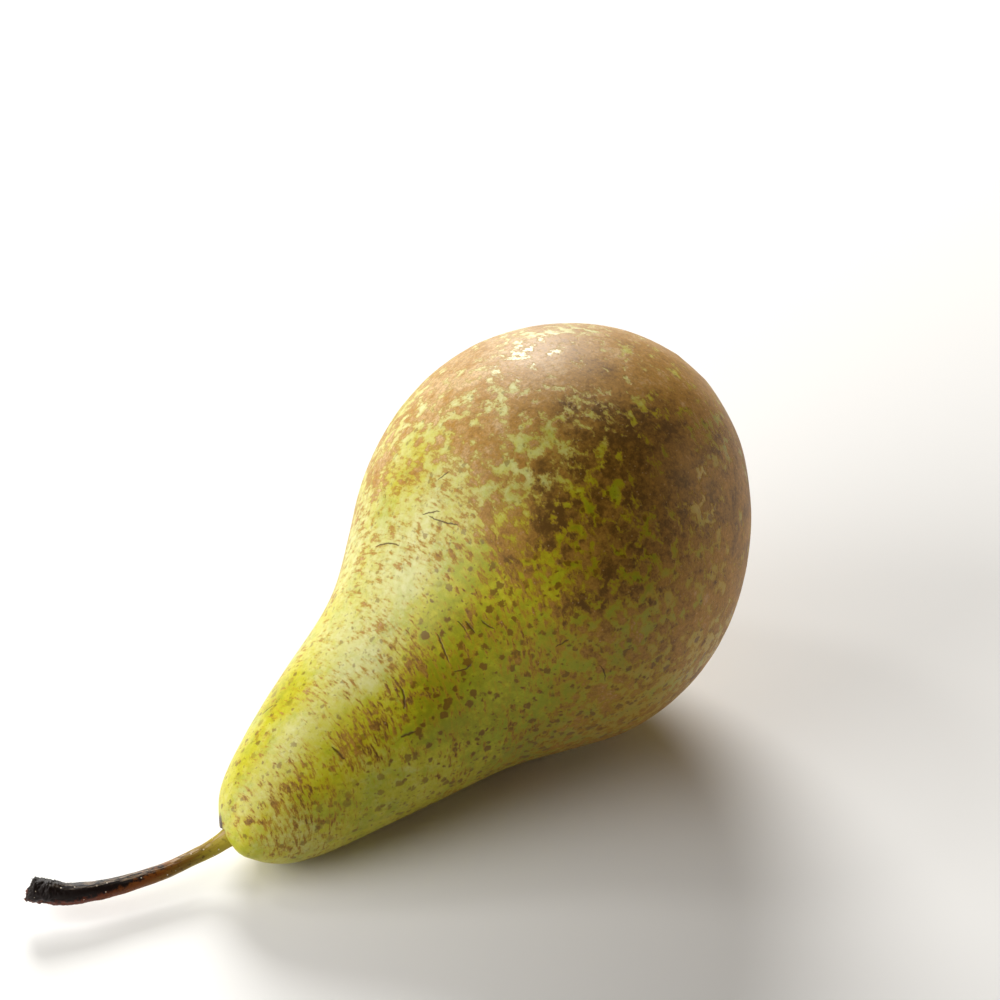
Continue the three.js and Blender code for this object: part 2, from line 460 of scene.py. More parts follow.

# %% [markdown]
# ## How pale the green skin is
#
# The green skin isn't one colour: the side that hung in the light is pale and yellowish, and the
# side that hung among the leaves is a deep green. Mixing by height above the table would tie the
# colour to how the fruit lies. So the paleness is a field over the skin, set like the russet. It is
# also painted light and shade: pale and whitish where the light falls, deep green and olive in
# shade.

# %% Set the paleness
# Each row: distance along in mm, degrees round, paleness. 0 is deep green, 1 is pale. High rows
# also stand where the light falls and low rows in shade, as painted light and shade.
PALENESS_AND_LIGHT = (
    (6, 105, 0.60), (8, 130, 0.60), (10, 75, 0.40), (12, 155, 0.40), (17, 100, 0.95),
    (17, 125, 0.65), (19, 75, 0.35), (22, 180, 0.40), (26, 135, 0.35), (29, 110, 0.85),
    (30, -90, 0.15), (34, 85, 0.90), (35, 20, 0.60), (36, 150, -0.05), (46, 135, 0.25),
    (48, 90, 0.90), (49, 180, 0.10), (54, 130, 0.35), (54, -170, -0.30), (60, 75, 0.75),
    (60, 110, 0.70), (60, -165, -0.45), (65, -90, 0.20), (66, 170, -0.30), (67, 85, 0.90),
    (70, 20, 0.50), (70, 140, 0.20), (74, 75, 1.30), (76, 95, 1.10), (76, 110, 0.80),
    (80, -170, -0.45), (85, 160, -0.40), (86, 90, 1.20),
)
pale_and_lit_field = blended(PALENESS_AND_LIGHT)
print("paleness from", round(pale_and_lit_field.min(), 2), "to", round(pale_and_lit_field.max(), 2))

# %% [markdown]
# ## How dark the russet is
#
# Young cork is thin and tan, and old cork is thick and dark brown. Noise alone could mix the two,
# but then every side of the fruit would get as much of both. So the same kind of field says where
# the cork is dark, and noise only breaks up the borders. The field is also darker on the side in
# shade and paler where the light falls, so it is partly painted shade and light.

# %% Set the darkness of the russet
# Each row: distance along in mm, degrees round, darkness from 0 to 1. Dark rows also stand on the
# side in shade, and light ones where the light falls: partly painted shade and light.
RUSSET_DARKNESS_AND_SHADE = (
    (8, 135, 0.70), (20, 100, 0.30), (25, 135, 0.80), (34, 85, 0.15), (40, 160, 0.80),
    (46, 135, 0.70), (48, 90, 0.10), (52, 165, 0.60), (57, 75, 0.05), (60, -165, 0.45),
    (63, 155, 0.80), (65, 110, 0.25), (67, 85, 0.05), (70, 20, 0.30), (70, 125, 1.00),
    (70, -90, 0.60), (74, 75, 0.00), (74, 105, 0.25), (75, 175, 0.50), (76, 110, 0.45),
    (84, 120, 1.00), (85, 90, 0.15), (85, 130, 0.95), (90, 110, 0.60), (94, 150, 0.60),
    (97, 60, 0.20), (97, 115, 0.30), (105, -90, 0.60),
)
dark_and_shade_field = blended(RUSSET_DARKNESS_AND_SHADE)
print("russet darkness from", round(dark_and_shade_field.min(), 2), "to", round(dark_and_shade_field.max(), 2))

# %% [markdown]
# ## Building the skin's mesh
#
# The knots become vertices, and every four neighbours a face. A single vertex closes each end. The
# map for the finish is the net laid out flat, with its seam underneath where it isn't seen. An
# automatic map would cut the skin into scraps, and their edges could show.

# %% Join the knots into faces and a map
MAP_MARGIN = 0.002


def net_faces():
    """The net's four-sided faces, with vertex numbers, and the triangles that close both ends."""
    ring, step = np.meshgrid(np.arange(RINGS - 1), np.arange(SIDES), indexing="ij")
    ring, step = ring.ravel(), step.ravel()
    after = (step + 1) % SIDES
    quads = np.stack([
        ring * SIDES + step, ring * SIDES + after,
        (ring + 1) * SIDES + after, (ring + 1) * SIDES + step,
    ], axis=1)
    steps = np.arange(SIDES)
    afters = (steps + 1) % SIDES
    first, last = RINGS * SIDES, RINGS * SIDES + 1
    base = (RINGS - 1) * SIDES
    at_tip = np.stack([afters, steps, np.full(SIDES, first)], axis=1)
    at_end = np.stack([base + steps, base + afters, np.full(SIDES, last)], axis=1)
    return quads.tolist() + at_tip.tolist() + at_end.tolist()


def lay_map(mesh):
    """The map OFBake: across is the turn round the fruit, up is the ring."""
    layer = mesh.uv_layers.new(name="OFBake")
    room = 1 - 2 * MAP_MARGIN
    for face in mesh.polygons:
        numbers = [mesh.loops[loop].vertex_index for loop in face.loop_indices]
        steps = [number % SIDES for number in numbers if number < RINGS * SIDES]
        wraps = max(steps) - min(steps) > 1
        middle = sum(steps[:2]) / 2 if not wraps else SIDES - 0.5
        for loop, number in zip(face.loop_indices, numbers):
            if number >= RINGS * SIDES:
                across, up = middle, (0 if number == RINGS * SIDES else 1)
            else:
                step = number % SIDES
                across = SIDES if wraps and step == 0 else step
                up = (0.5 + number // SIDES) / RINGS
            layer.data[loop].uv = (MAP_MARGIN + room * across / SIDES, MAP_MARGIN + room * up)


def store(mesh, name, values):
    """Keeps one number per vertex, which a material can read by name."""
    attribute = mesh.attributes.new(name, "FLOAT", "POINT")
    attribute.data.foreach_set("value", np.asarray(values, dtype=np.float32))


def new_piece(name, mesh, replaced):
    """Adds a mesh to the scene, standing for one solid and riding with the fruit."""
    piece = bpy.data.objects.new(name, mesh)
    bpy.context.scene.collection.objects.link(piece)
    mesh.shade_smooth()
    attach(piece, "root")
    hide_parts(replaced)
    return piece


print("face and map helpers ready")

# %% [markdown]
# ## The finished skin
#
# The mesh carries four numbers at every vertex for its material: the odds of russet, how pale the
# green is, how dark the russet is, and where the dry tissue by the stem lies. The paleness and the
# darkness are partly painted light and shade, and the fourth also holds painted shade in the
# crevice round the stem. Numbers on vertices follow the skin wherever it goes and need no picture.

# %% Build the skin
SCAR_REACH, SCAR_FADE = 3.0 * MM, 1.6 * MM
# The faint dark ring round the stem is painted shade in the crevice; the collar is dry tissue.
CREVICE_SHADE_WIDTH, CREVICE_SHADE_SHARE = 0.6 * MM, 0.45


def stem_scar_and_shade():
    """Dark skin: dry tissue on all the collar, and faintly a ring of painted shade round the stem.
    """
    collar = collar_share * np.clip((SCAR_REACH - gap_to_stem) / SCAR_FADE, 0, 1)
    ring = CREVICE_SHADE_SHARE * hump(np.clip(gap_to_stem, 0, None), CREVICE_SHADE_WIDTH)
    return np.maximum(collar, ring)


def with_ends(field):
    """A field over the net, with the means of its first and last ring for the closing vertices."""
    return np.append(field, [field[:SIDES].mean(), field[-SIDES:].mean()])


def build_skin():
    """The skin's mesh, with the four fields that its material reads."""
    tip_end = skin_places[:SIDES].mean(axis=0)
    calyx_end = skin_places[-SIDES:].mean(axis=0)
    places = np.vstack([skin_places, tip_end, calyx_end])
    mesh = bpy.data.meshes.new("skin")
    mesh.from_pydata(places.tolist(), [], net_faces())
    mesh.update()
    lay_map(mesh)
    amount = with_ends(russet_field)
    store(mesh, "russet_odds", np.log(amount / (1 - amount)))
    store(mesh, "pale_and_lit", with_ends(pale_and_lit_field))
    store(mesh, "russet_darkness_and_shade", with_ends(dark_and_shade_field))
    store(mesh, "scar_and_crevice_shade", with_ends(stem_scar_and_shade()))
    return new_piece("skin", mesh, "pear_body")


skin = build_skin()
print("skin:", len(skin.data.polygons), "faces")

# %% [markdown]
# ## A short way to write materials
#
# A material is a small program, drawn in Blender as boxes and wires. Drawn by hand it soon turns
# into a tangle, so it is written down like a recipe instead: every method adds one step and returns
# its result, and a finish becomes a few lines of plain sums and blends.

# %% Material helpers


def colour(red, green, blue):
    """A colour as the eye names it, from 0 to 255, turned into light amounts."""
    return [((part / 255 + 0.055) / 1.055) ** 2.4 for part in (red, green, blue)] + [1.0]


class Recipe:
    """Writes one material; every method returns a result that the next one can use."""

    def __init__(self, name):
        self.material = bpy.data.materials.new(name)
        self.material.use_nodes = True
        self.tree = self.material.node_tree
        self.finish = self.tree.nodes["Principled BSDF"]

    def step(self, kind, inputs, output=0, **settings):
        """Adds one step of any kind, with its inputs, and returns one of its outputs."""
        node = self.tree.nodes.new("ShaderNode" + kind)
        for name, value in settings.items():
            setattr(node, name, value)
        for name, value in inputs.items():
            if isinstance(value, bpy.types.NodeSocket):
                self.tree.links.new(value, node.inputs[name])
            else:
                node.inputs[name].default_value = value
        return node.outputs[output]

    def sum(self, how, first, second=0.0, third=0.0):
        """One sum of any kind with up to three values."""
        return self.step("Math", {0: first, 1: second, 2: third}, operation=how)

    def times(self, first, second):
        """One value times another."""
        return self.sum("MULTIPLY", first, second)

    def plus(self, first, part, weight):
        """The first value with so much of a second one added."""
        return self.sum("MULTIPLY_ADD", part, weight, first)

    def vector(self, how, first, second=(0, 0, 0), output=0):
        """One sum of any kind with places or directions."""
        return self.step("VectorMath", {0: first, 1: second}, output, operation=how)

    def scaled(self, vector, factor):
        """A place or direction, made longer or shorter."""
        return self.step("VectorMath", {0: vector, "Scale": factor}, operation="SCALE")

    def spot(self):
        """The place on the fruit, in mm."""
        return self.scaled(self.step("TexCoord", {}, "Object"), 1 / MM)

    def soft_step(self, value, low, high, start=0.0, end=1.0):
        """Goes smoothly from start to end while the value goes from low to high."""
        return self.step("MapRange", {
            "Value": value, "From Min": low, "From Max": high, "To Min": start, "To Max": end,
        }, interpolation_type="SMOOTHSTEP")

    def cloud(self, where, size, detail=2.0, rough=0.5, seed=0.0):
        """Cloudy noise from 0 to 1, about one half on average, with features of a size in mm."""
        return self.step("TexNoise", {
            "Vector": where, "W": seed, "Scale": 1 / size, "Detail": detail, "Roughness": rough,
        }, noise_dimensions="4D")

    def waves(self, where, *kind):
        """The same noise, but swinging about zero."""
        return self.sum("SUBTRACT", self.cloud(where, *kind), 0.5)

    def cells(self, where, spacing, output="Distance"):
        """Scattered points: the distance to the nearest, or a random colour for each."""
        return self.step("TexVoronoi", {"Vector": where, "Scale": 1 / spacing}, output)

    def shaken(self, where, per_mm, detail, reach):
        """The place, moved about at random within a reach in mm, so that outlines turn ragged."""
        way = self.step("TexNoise", {"Vector": where, "Scale": per_mm, "Detail": detail}, "Color")
        return self.vector("ADD", where, self.scaled(way, reach))

    def blend(self, amount, first, second):
        """The first colour at amount 0, the second at 1, and a mixture in between."""
        return self.step("Mix", {0: amount, 6: first, 7: second}, 2, data_type="RGBA")

    def attribute(self, name):
        """One of the numbers kept at the vertices."""
        return self.step("Attribute", {}, "Fac", attribute_name=name)

    def set(self, name, value):
        """Hands a value or a step's result to the finish itself."""
        socket = self.finish.inputs[name]
        if isinstance(value, bpy.types.NodeSocket):
            self.tree.links.new(value, socket)
        else:
            socket.default_value = value

    def raised(self, height, depth):
        """Turns a height pattern into bumps of the given depth in metres."""
        return self.set("Normal", self.step("Bump", {"Height": height, "Distance": depth}))


print("helpers ready")

# %% [markdown]
# ## Where the skin turns to cork
#
# Russet starts at the breathing pores as brown dots, which grow and join into lace and then into a
# solid brown cover with a few green islands. On the neck it lies in short streaks round the fruit.
# Painting all that by hand would take days. So the mask is a cloud pattern on the belly and a
# streaky one on the neck, helped up near scattered pores, and cut at a level that the amount sets.

# %% The russet mask
# Each cloud: the size of its features in mm, its detail, its roughness and its seed.
LACE = (2.5, 8, 0.68)
STREAKS = (2.0, 5, 0.62, 12)
FRAY = (0.75, 5, 0.66, 7)
CLUSTERS = (8.0, 3, 0.5, 4)
FRAY_WEIGHT, CLUSTER_WEIGHT = 0.30, 0.45
LACE_SQUEEZE, STREAK_SQUEEZE = 1.5, 4.0
# Where the belly's lace ends and the neck's streaks are full, in mm from the resting spot.
NECK_SPAN = (-14.0, -30.0)
PORE_SPACING, PORE_REACH = 2.0, 0.535
PORE_WEIGHT, PORE_WEIGHT_ON_NECK = 0.28, 0.14
PORE_SHAKE = (0.9, 2, 1.1)
LEVEL_MIDDLE = 0.5
LEVEL_SPREAD = 0.047
BODY_SPREAD = 0.022


def squeezed(mix, spot, squeeze):
    """The place, squeezed along the fruit's axis, so that patterns run round the fruit."""
    lean = math.asin(axis.z)
    return mix.step("Mapping", {
        "Vector": spot, "Rotation": (0, lean, 0), "Scale": (squeeze, 1, 1),
    })


def russet_level(mix, spot):
    """How solid the cork is, and how far each place is above the level where it starts."""
    neck = mix.soft_step(mix.step("SeparateXYZ", {"Vector": spot}), *NECK_SPAN)
    banded = squeezed(mix, spot, LACE_SQUEEZE)
    lace = mix.cloud(banded, *LACE)
    streaks = mix.cloud(squeezed(mix, spot, STREAK_SQUEEZE), *STREAKS)
    level = mix.plus(lace, neck, mix.sum("SUBTRACT", streaks, lace))
    pore = mix.cells(mix.shaken(spot, *PORE_SHAKE), PORE_SPACING)
    pore_weight = mix.plus(PORE_WEIGHT, neck, PORE_WEIGHT_ON_NECK - PORE_WEIGHT)
    level = mix.plus(level, mix.sum("SUBTRACT", PORE_REACH, pore), pore_weight)
    level = mix.plus(level, mix.waves(banded, *FRAY), FRAY_WEIGHT)
    level = mix.plus(level, mix.waves(spot, *CLUSTERS), CLUSTER_WEIGHT)
    pattern = mix.sum("SUBTRACT", level, LEVEL_MIDDLE)
    odds = mix.attribute("russet_odds")
    return mix.plus(pattern, odds, BODY_SPREAD), mix.plus(pattern, odds, LEVEL_SPREAD)


print("clouds in the mask:", len((LACE, STREAKS, FRAY, CLUSTERS)))

# %% [markdown]
# ## Scratches
#
# Twigs and stalks scratch the skin while it grows, and the scratch heals as a thin dark line. Cut
# into the mesh, such lines would need faces of a tenth of a millimetre. So each one is drawn by
# the material: it is dark where a place is nearer to the line than its half width.

# %% Scratches
# How much of the distance straight out of the skin is left out of account.
ACROSS_ONLY = 0.9
SCRATCH_TAPER = 0.4
SCRATCH_SHAKE = (1.4, 3, 0.5)
# How far to either side a scratch looks to find the skin's directions, in mm and in degrees.
SIGHT_ALONG, SIGHT_ROUND = 4, 8
# Each row: distance along in mm, degrees round, length in mm, heading in degrees (0 runs towards
# the calyx, 90 runs round the fruit), bow to one side in mm, half width in mm.
SCRATCHES = (
    (56, 101, 6.0, 75, 0.2, 0.25), (56, 95, 3.5, 55, 0.0, 0.20), (49, 80, 6.0, 70, -0.5, 0.25),
    (62, 91, 2.5, 25, 0.0, 0.20), (55, 160, 2.5, 0, 0.0, 0.25), (57, 177, 4.0, 100, -0.4, 0.20),
    (32, 138, 4.0, 125, -0.3, 0.30), (7, 115, 6.0, 125, 0.3, 0.20), (47, 136, 2.5, 100, 0.0, 0.30),
    (49, 139, 2.5, 80, 0.2, 0.25), (46, 133, 2.5, 100, -0.2, 0.20), (42, 134, 5.0, 115, 0.0, 0.25),
    (42, 147, 3.0, 15, 0.4, 0.25), (18, 60, 3.0, 40, 0.0, 0.25), (19, 136, 3.0, 90, 0.0, 0.40),
    (29, 155, 2.5, 20, 0.0, 0.40),
)


def scratch_group():
    """A reusable step: 1 on a bowed line between two places, fading to 0 beside it."""
    group = bpy.data.node_groups.new("scratch", "ShaderNodeTree")
    for name, kind in (("Spot", "Vector"), ("Start", "Vector"), ("Run", "Vector"),
                       ("Bow", "Vector"), ("Width", "Float")):
        group.interface.new_socket(name, in_out="INPUT", socket_type="NodeSocket" + kind)
    group.interface.new_socket("Line", in_out="OUTPUT", socket_type="NodeSocketFloat")
    mix = Recipe.__new__(Recipe)
    mix.tree = group
    given = group.nodes.new("NodeGroupInput").outputs
    offset = mix.vector("SUBTRACT", given["Spot"], given["Start"])
    run_squared = mix.vector("DOT_PRODUCT", given["Run"], given["Run"], "Value")
    along_run = mix.vector("DOT_PRODUCT", offset, given["Run"], "Value")
    share = mix.step("Clamp", {"Value": mix.sum("DIVIDE", along_run, run_squared)})
    arch = mix.times(share, mix.sum("SUBTRACT", 1.0, share))
    line = mix.vector("ADD", mix.scaled(given["Run"], share), mix.scaled(given["Bow"], arch))
    outward = mix.step("TexCoord", {}, "Normal")
    gap = mix.vector("SUBTRACT", offset, line)
    lift = mix.times(mix.vector("DOT_PRODUCT", gap, outward, "Value"), ACROSS_ONLY)
    miss = mix.vector("DISTANCE", gap, mix.scaled(outward, lift), "Value")
    taper = mix.sum("POWER", mix.times(arch, 4.0), SCRATCH_TAPER)
    edge = mix.times(given["Width"], taper)
    result = group.nodes.new("NodeGroupOutput").inputs["Line"]
    group.links.new(mix.soft_step(miss, edge, 0.0), result)
    return group


def skin_ways(along_mm, degrees, heading):
    """The direction of a scratch with that heading, and the direction across it on the skin."""
    lengthwise = Vector(place_on_skin(along_mm + SIGHT_ALONG, degrees)
                        - place_on_skin(along_mm - SIGHT_ALONG, degrees)).normalized()
    roundwise = Vector(place_on_skin(along_mm, degrees + SIGHT_ROUND)
                       - place_on_skin(along_mm, degrees - SIGHT_ROUND)).normalized()
    way = math.cos(heading) * lengthwise + math.sin(heading) * roundwise
    across = math.cos(heading) * roundwise - math.sin(heading) * lengthwise
    return way, across


def scratches(mix, spot):
    """All scratches together, on a place shaken a little so that the lines aren't too clean."""
    group = scratch_group()
    ragged = mix.shaken(spot, *SCRATCH_SHAKE)
    mean_shake = Vector((1, 1, 1)) * SCRATCH_SHAKE[-1] / 2
    total = 0.0
    for along_mm, degrees, length, heading, bow, width in SCRATCHES:
        centre = Vector(place_on_skin(along_mm, degrees)) / MM + mean_shake
        way, across = skin_ways(along_mm, degrees, math.radians(heading))
        node = mix.tree.nodes.new("ShaderNodeGroup")
        node.node_tree = group
        node.inputs["Start"].default_value = centre - length / 2 * way
        node.inputs["Run"].default_value = length * way
        node.inputs["Bow"].default_value = 4 * bow * across
        node.inputs["Width"].default_value = width
        mix.tree.links.new(ragged, node.inputs["Spot"])
        total = mix.sum("MAXIMUM", total, node.outputs["Line"])
    return total


print(len(SCRATCHES), "scratches")

# %% [markdown]
# ## The green skin
#
# Under the russet the skin is yellow-green, and never even: broad shades from olive through deep
# green to pale, moss-green clouds, brown stains near the cork, and pores as brown dots. The pale
# side is partly painted light and the deep side partly painted shade, and the dots show darker
# there. One green with a little noise would look like plastic, so the shades are laid over each
# other one by one.

# %% Colours and patterns of the green skin
YELLOW_GREEN = colour(188, 182, 26)
DEEP_GREEN = colour(138, 138, 0)
MOSS_GREEN = colour(144, 156, 16)
# The palest, whitish skin is partly painted light, where the lamps fall on the fruit.
PALE_LIT_SKIN = colour(212, 210, 152)
OLIVE_FILM = colour(174, 148, 50)
OCHRE_STAIN = colour(178, 146, 10)
PORE_BROWN = colour(114, 79, 4)
# Each cloud: size in mm, detail, roughness, seed. Each span: where a colour starts and is full.
BROAD_SHADE, BROAD_WEIGHT = (12, 3, 0.5, 9), 0.9
FINE_SHADE, FINE_WEIGHT = (1.2, 6, 0.68, 2), 1.0
DEEP_SPAN = (-0.45, 0.05)
YELLOW_SPAN = (0.0, 0.5)
PALE_SPAN = (0.35, 1.25)
MOSS_CLOUD, MOSS_SPAN, MOSS_STRENGTH = (5.0, 4, 0.6, 21), (0.48, 0.62), 0.5
OCHRE_SPAN = (-0.14, 0.0, 0.0, 0.45)
STAIN_CLOUD, STAIN_SPAN, STAIN_STRENGTH = (0.9, 4, 0.6, 11), (0.56, 0.70), 0.3
# Each sort of dot: spacing, smallest radius and largest radius in mm, seed.
SMALL_DOTS = (0.9, 0.05, 0.24, 3)
LARGE_DOTS = (1.6, 0.10, 0.50, 0)
BLOTCHES = (1.7, 0.20, 0.80, 6)
SMALL_DOT_STRENGTH = 0.7
DOT_SHAKE = (1.4, 4, 1.1)
DOT_RARITY = 1.6
DOT_EDGE = 0.08
# How strongly dots and blotches show, from the palest, lit skin to the deepest, shaded skin:
# stronger in shade is partly painted shade.
DOT_SPAN = (0.9, 0.1, 0.55, 0.95)
BLOTCH_SPAN = (0.6, 0.3, 0.0, 0.9)


def dots(mix, spot, spacing, smallest, widest, seed):
    """Scattered soft dots of mixed sizes, of which the larger ones are rarer."""
    shifted = mix.vector("ADD", spot, (seed, seed, seed))
    chance = mix.step("SeparateColor", {"Color": mix.cells(shifted, spacing, "Color")}, 1)
    rare = mix.sum("POWER", chance, DOT_RARITY)
    limit = mix.plus(smallest / spacing, rare, (widest - smallest) / spacing)
    beyond = mix.sum("SUBTRACT", mix.cells(shifted, spacing), limit)
    return mix.soft_step(beyond, DOT_EDGE, -DOT_EDGE)


def green_skin(mix, spot, level):
    """Yellow-green skin, from olive through deep green to pale, with mottle, stains and pores."""
    # The paleness is partly painted light and shade: pale where the light falls, deep in shade.
    pale_and_lit = mix.attribute("pale_and_lit")
    pale = mix.plus(pale_and_lit, mix.waves(spot, *BROAD_SHADE), BROAD_WEIGHT)
    pale = mix.plus(pale, mix.waves(spot, *FINE_SHADE), FINE_WEIGHT)
    green = mix.blend(mix.soft_step(pale, *DEEP_SPAN), OLIVE_FILM, DEEP_GREEN)
    green = mix.blend(mix.soft_step(pale, *YELLOW_SPAN), green, YELLOW_GREEN)
    moss = mix.soft_step(mix.cloud(spot, *MOSS_CLOUD), *MOSS_SPAN)
    green = mix.blend(mix.times(moss, MOSS_STRENGTH), green, MOSS_GREEN)
    green = mix.blend(mix.soft_step(pale, *PALE_SPAN), green, PALE_LIT_SKIN)
    green = mix.blend(mix.soft_step(level, *OCHRE_SPAN), green, OCHRE_STAIN)
    stain = mix.soft_step(mix.cloud(spot, *STAIN_CLOUD), *STAIN_SPAN)
    green = mix.blend(mix.times(stain, STAIN_STRENGTH), green, PORE_BROWN)
    ragged = mix.shaken(spot, *DOT_SHAKE)
    # Dots show more strongly on the deep, shaded skin: partly painted shade.
    shade = mix.soft_step(pale_and_lit, *DOT_SPAN)
    small_shade = mix.times(shade, SMALL_DOT_STRENGTH)
    green = mix.blend(mix.times(dots(mix, ragged, *SMALL_DOTS), small_shade), green, PORE_BROWN)
    green = mix.blend(mix.times(dots(mix, ragged, *LARGE_DOTS), shade), green, PORE_BROWN)
    blotch_shade = mix.soft_step(pale_and_lit, *BLOTCH_SPAN)
    return mix.blend(mix.times(dots(mix, ragged, *BLOTCHES), blotch_shade), green, PORE_BROWN)


print("green skin ready")

# %% [markdown]
# ## The cork
#
# Russet is cork: dry, finely grained, tan where it is young and dark brown where it is thick, with
# tiny pale specks. Here the palest cork is also painted light where the light falls, and the
# darkest partly painted shade. It has no gloss of its own, and its grain is what catches the light.

# %% Colours and patterns of the cork
# The palest cork is partly painted light, and the darkest cork partly painted shade.
RUSSET_LIT_PALE = colour(213, 181, 132)
RUSSET_TAN = colour(174, 128, 44)
RUSSET_DARK = colour(98, 66, 0)
SPECK_PALE = colour(200, 168, 118)
PATCH_CLOUD = (4.0, 3, 0.5, 6)
MOTTLE_CLOUD, MOTTLE_WEIGHT = (0.9, 5, 0.7, 13), 1.1
DARKNESS_WEIGHT = 0.62
TAN_SPAN = (0.25, 0.75)
DARK_SPAN = (0.70, 1.20)
GRAIN_CLOUD = (0.5, 4, 0.68, 1)
GRAIN_SPAN = (0.40, 0.64, 0.0, 0.38)
SPECK_SPACING, SPECK_SPAN, SPECK_STRENGTH = 1.1, (0.16, 0.07), 0.4


def russet_skin(mix, spot, grain):
    """Brown cork: soft patches of tan and dark brown, a fine grain and tiny pale specks."""
    patch = mix.cloud(spot, *PATCH_CLOUD)
    patch = mix.plus(patch, mix.waves(spot, *MOTTLE_CLOUD), MOTTLE_WEIGHT)
    # The darkness field is partly painted shade on the side away from the light.
    patch = mix.plus(patch, mix.attribute("russet_darkness_and_shade"), DARKNESS_WEIGHT)
    brown = mix.blend(mix.soft_step(patch, *TAN_SPAN), RUSSET_LIT_PALE, RUSSET_TAN)
    brown = mix.blend(mix.soft_step(patch, *DARK_SPAN), brown, RUSSET_DARK)
    brown = mix.blend(mix.soft_step(grain, *GRAIN_SPAN), brown, RUSSET_DARK)
    speck = mix.soft_step(mix.cells(spot, SPECK_SPACING), *SPECK_SPAN)
    return mix.blend(mix.times(speck, SPECK_STRENGTH), brown, SPECK_PALE)


print("cork ready")

# %% [markdown]
# ## The whole skin
#
# The cork is laid over the green skin where the mask says so. Its edge is thin and lets the green
# through, and thin cork stays sheer. The two differ in more than colour: green skin is smooth and
# waxy, and cork is rougher and a little raised. Light also sinks a short way into the flesh.

# %% The skin's finish
RUSSET_EDGE = colour(162, 122, 10)
SCRATCH_BROWN = colour(84, 58, 0)
# The darkest brown by the stem: dry tissue on the collar, painted shade in the crevice ring.
DRY_BROWN_AND_SHADE = colour(62, 38, 28)
THIN_SPAN = (-0.03, 0.025)
THICK_SPAN = (0.0, 0.10)
SHEER_SPAN = (-0.07, -0.02, 0.45, 1.0)
EDGE_STRENGTH = 0.75
DRY_AND_SHADE_SPAN = (0.75, 1.15)
DRY_AND_SHADE_GRAIN_WEIGHT = 0.8
GREEN_ROUGHNESS = 0.38
RUSSET_ROUGHNESS = 0.52
GLOSS = 0.36
BLOOM, BLOOM_ROUGHNESS = 0.02, 0.5
FLESH_GLOW = 0.08
FLESH_REACH = (1.0, 0.7, 0.2)
FLESH_DEPTH = 1.5 * MM
GRAIN_DEPTH = 0.05 * MM
GRAIN_SHARE = 0.5


def skin_finish():
    """Green skin and cork, with their scratches, gloss and grain."""
    mix = Recipe("pear skin")
    spot = mix.spot()
    body, level = russet_level(mix, spot)
    grain = mix.cloud(spot, *GRAIN_CLOUD)
    thin = mix.soft_step(level, *THIN_SPAN)
    sheer = mix.soft_step(body, *SHEER_SPAN)
    thick = mix.times(mix.soft_step(level, *THICK_SPAN), sheer)
    edge = mix.times(mix.times(thin, sheer), EDGE_STRENGTH)
    surface = mix.blend(edge, green_skin(mix, spot, level), RUSSET_EDGE)
    surface = mix.blend(thick, surface, russet_skin(mix, spot, grain))
    scratch = scratches(mix, spot)
    surface = mix.blend(scratch, surface, SCRATCH_BROWN)
    # Dry tissue on the collar, and painted shade in the crevice round the stem.
    dry = mix.plus(mix.attribute("scar_and_crevice_shade"), grain, DRY_AND_SHADE_GRAIN_WEIGHT)
    mix.set("Base Color", mix.blend(mix.soft_step(dry, *DRY_AND_SHADE_SPAN), surface, DRY_BROWN_AND_SHADE))
    mix.set("Roughness", mix.step("MapRange", {
        "Value": thin, "To Min": GREEN_ROUGHNESS, "To Max": RUSSET_ROUGHNESS,
    }))
    mix.set("Specular IOR Level", GLOSS)
    mix.set("Sheen Weight", BLOOM)
    mix.set("Sheen Roughness", BLOOM_ROUGHNESS)
    mix.set("Subsurface Weight", FLESH_GLOW)
    mix.set("Subsurface Radius", FLESH_REACH)
    mix.set("Subsurface Scale", FLESH_DEPTH)
    height = mix.plus(mix.times(grain, GRAIN_SHARE), thick, 1 - GRAIN_SHARE)
    mix.raised(mix.plus(height, scratch, -1.0), GRAIN_DEPTH)
    return mix.material


skin.data.materials.append(skin_finish())
print("skin finish:", len(skin.data.materials[0].node_tree.nodes), "steps")

# %% [markdown]
# ## The stem
#
# The stem is a woody stalk that curves out of the neck. It is smooth where it is young, wrinkled
# further out, and ends in a thick knob. A plain tube with bumps painted on would keep a smooth
# outline, and against a pale ground the outline is what shows. So real rings are swept along the
# line, and each is pushed in and out by noise that is drawn out lengthwise, as wood shrinks.

# %% Sweep the stem
STEM_SIDES = 72
STEM_TOP = np.array((0, 0, 1.0))
# Each noise: how fine it is round the stem, how fine along it, and a seed.
LONG_FOLDS = (2.6, 0.22, 0)
LUMPS = (0.9, 0.45, 7)
CRAGS = (1.9, 1.3, 3)
CRUMBS = (4.6, 3.1, 5)
# How high each stands, as a share of the radius, and how much of it the young end has.
FOLD_HEIGHT, FOLD_ON_YOUNG = 0.045, 0.35
LUMP_HEIGHT, LUMP_ON_YOUNG = 0.05, 0.5
CRAG_HEIGHT, CRUMB_HEIGHT, CRUMB_ON_WOOD = 0.08, 0.07, 0.02
PATTERN_LENGTH = 40
# Where each part begins along the stem and how long it takes to be full, as shares of its length.
WOODY_PART = (0.3, 0.4)
KNOB_PART = (0.80, 0.12)
SLANTED_PART = (0.88, 0.12)
KNOB_WASTE = 0.05
KNOB_SLANT = 1.1 * MM
stem_turns = np.arange(STEM_SIDES) * 2 * math.pi / STEM_SIDES


def stem_frames():
    """At each ring: the way forward, the way sideways and the way up."""
    ahead = np.gradient(stem_line, axis=0)
    ahead /= np.linalg.norm(ahead, axis=1)[:, None]
    sideways = np.cross(ahead, STEM_TOP)
    sideways /= np.linalg.norm(sideways, axis=1)[:, None]
    return ahead, sideways, np.cross(sideways, ahead)


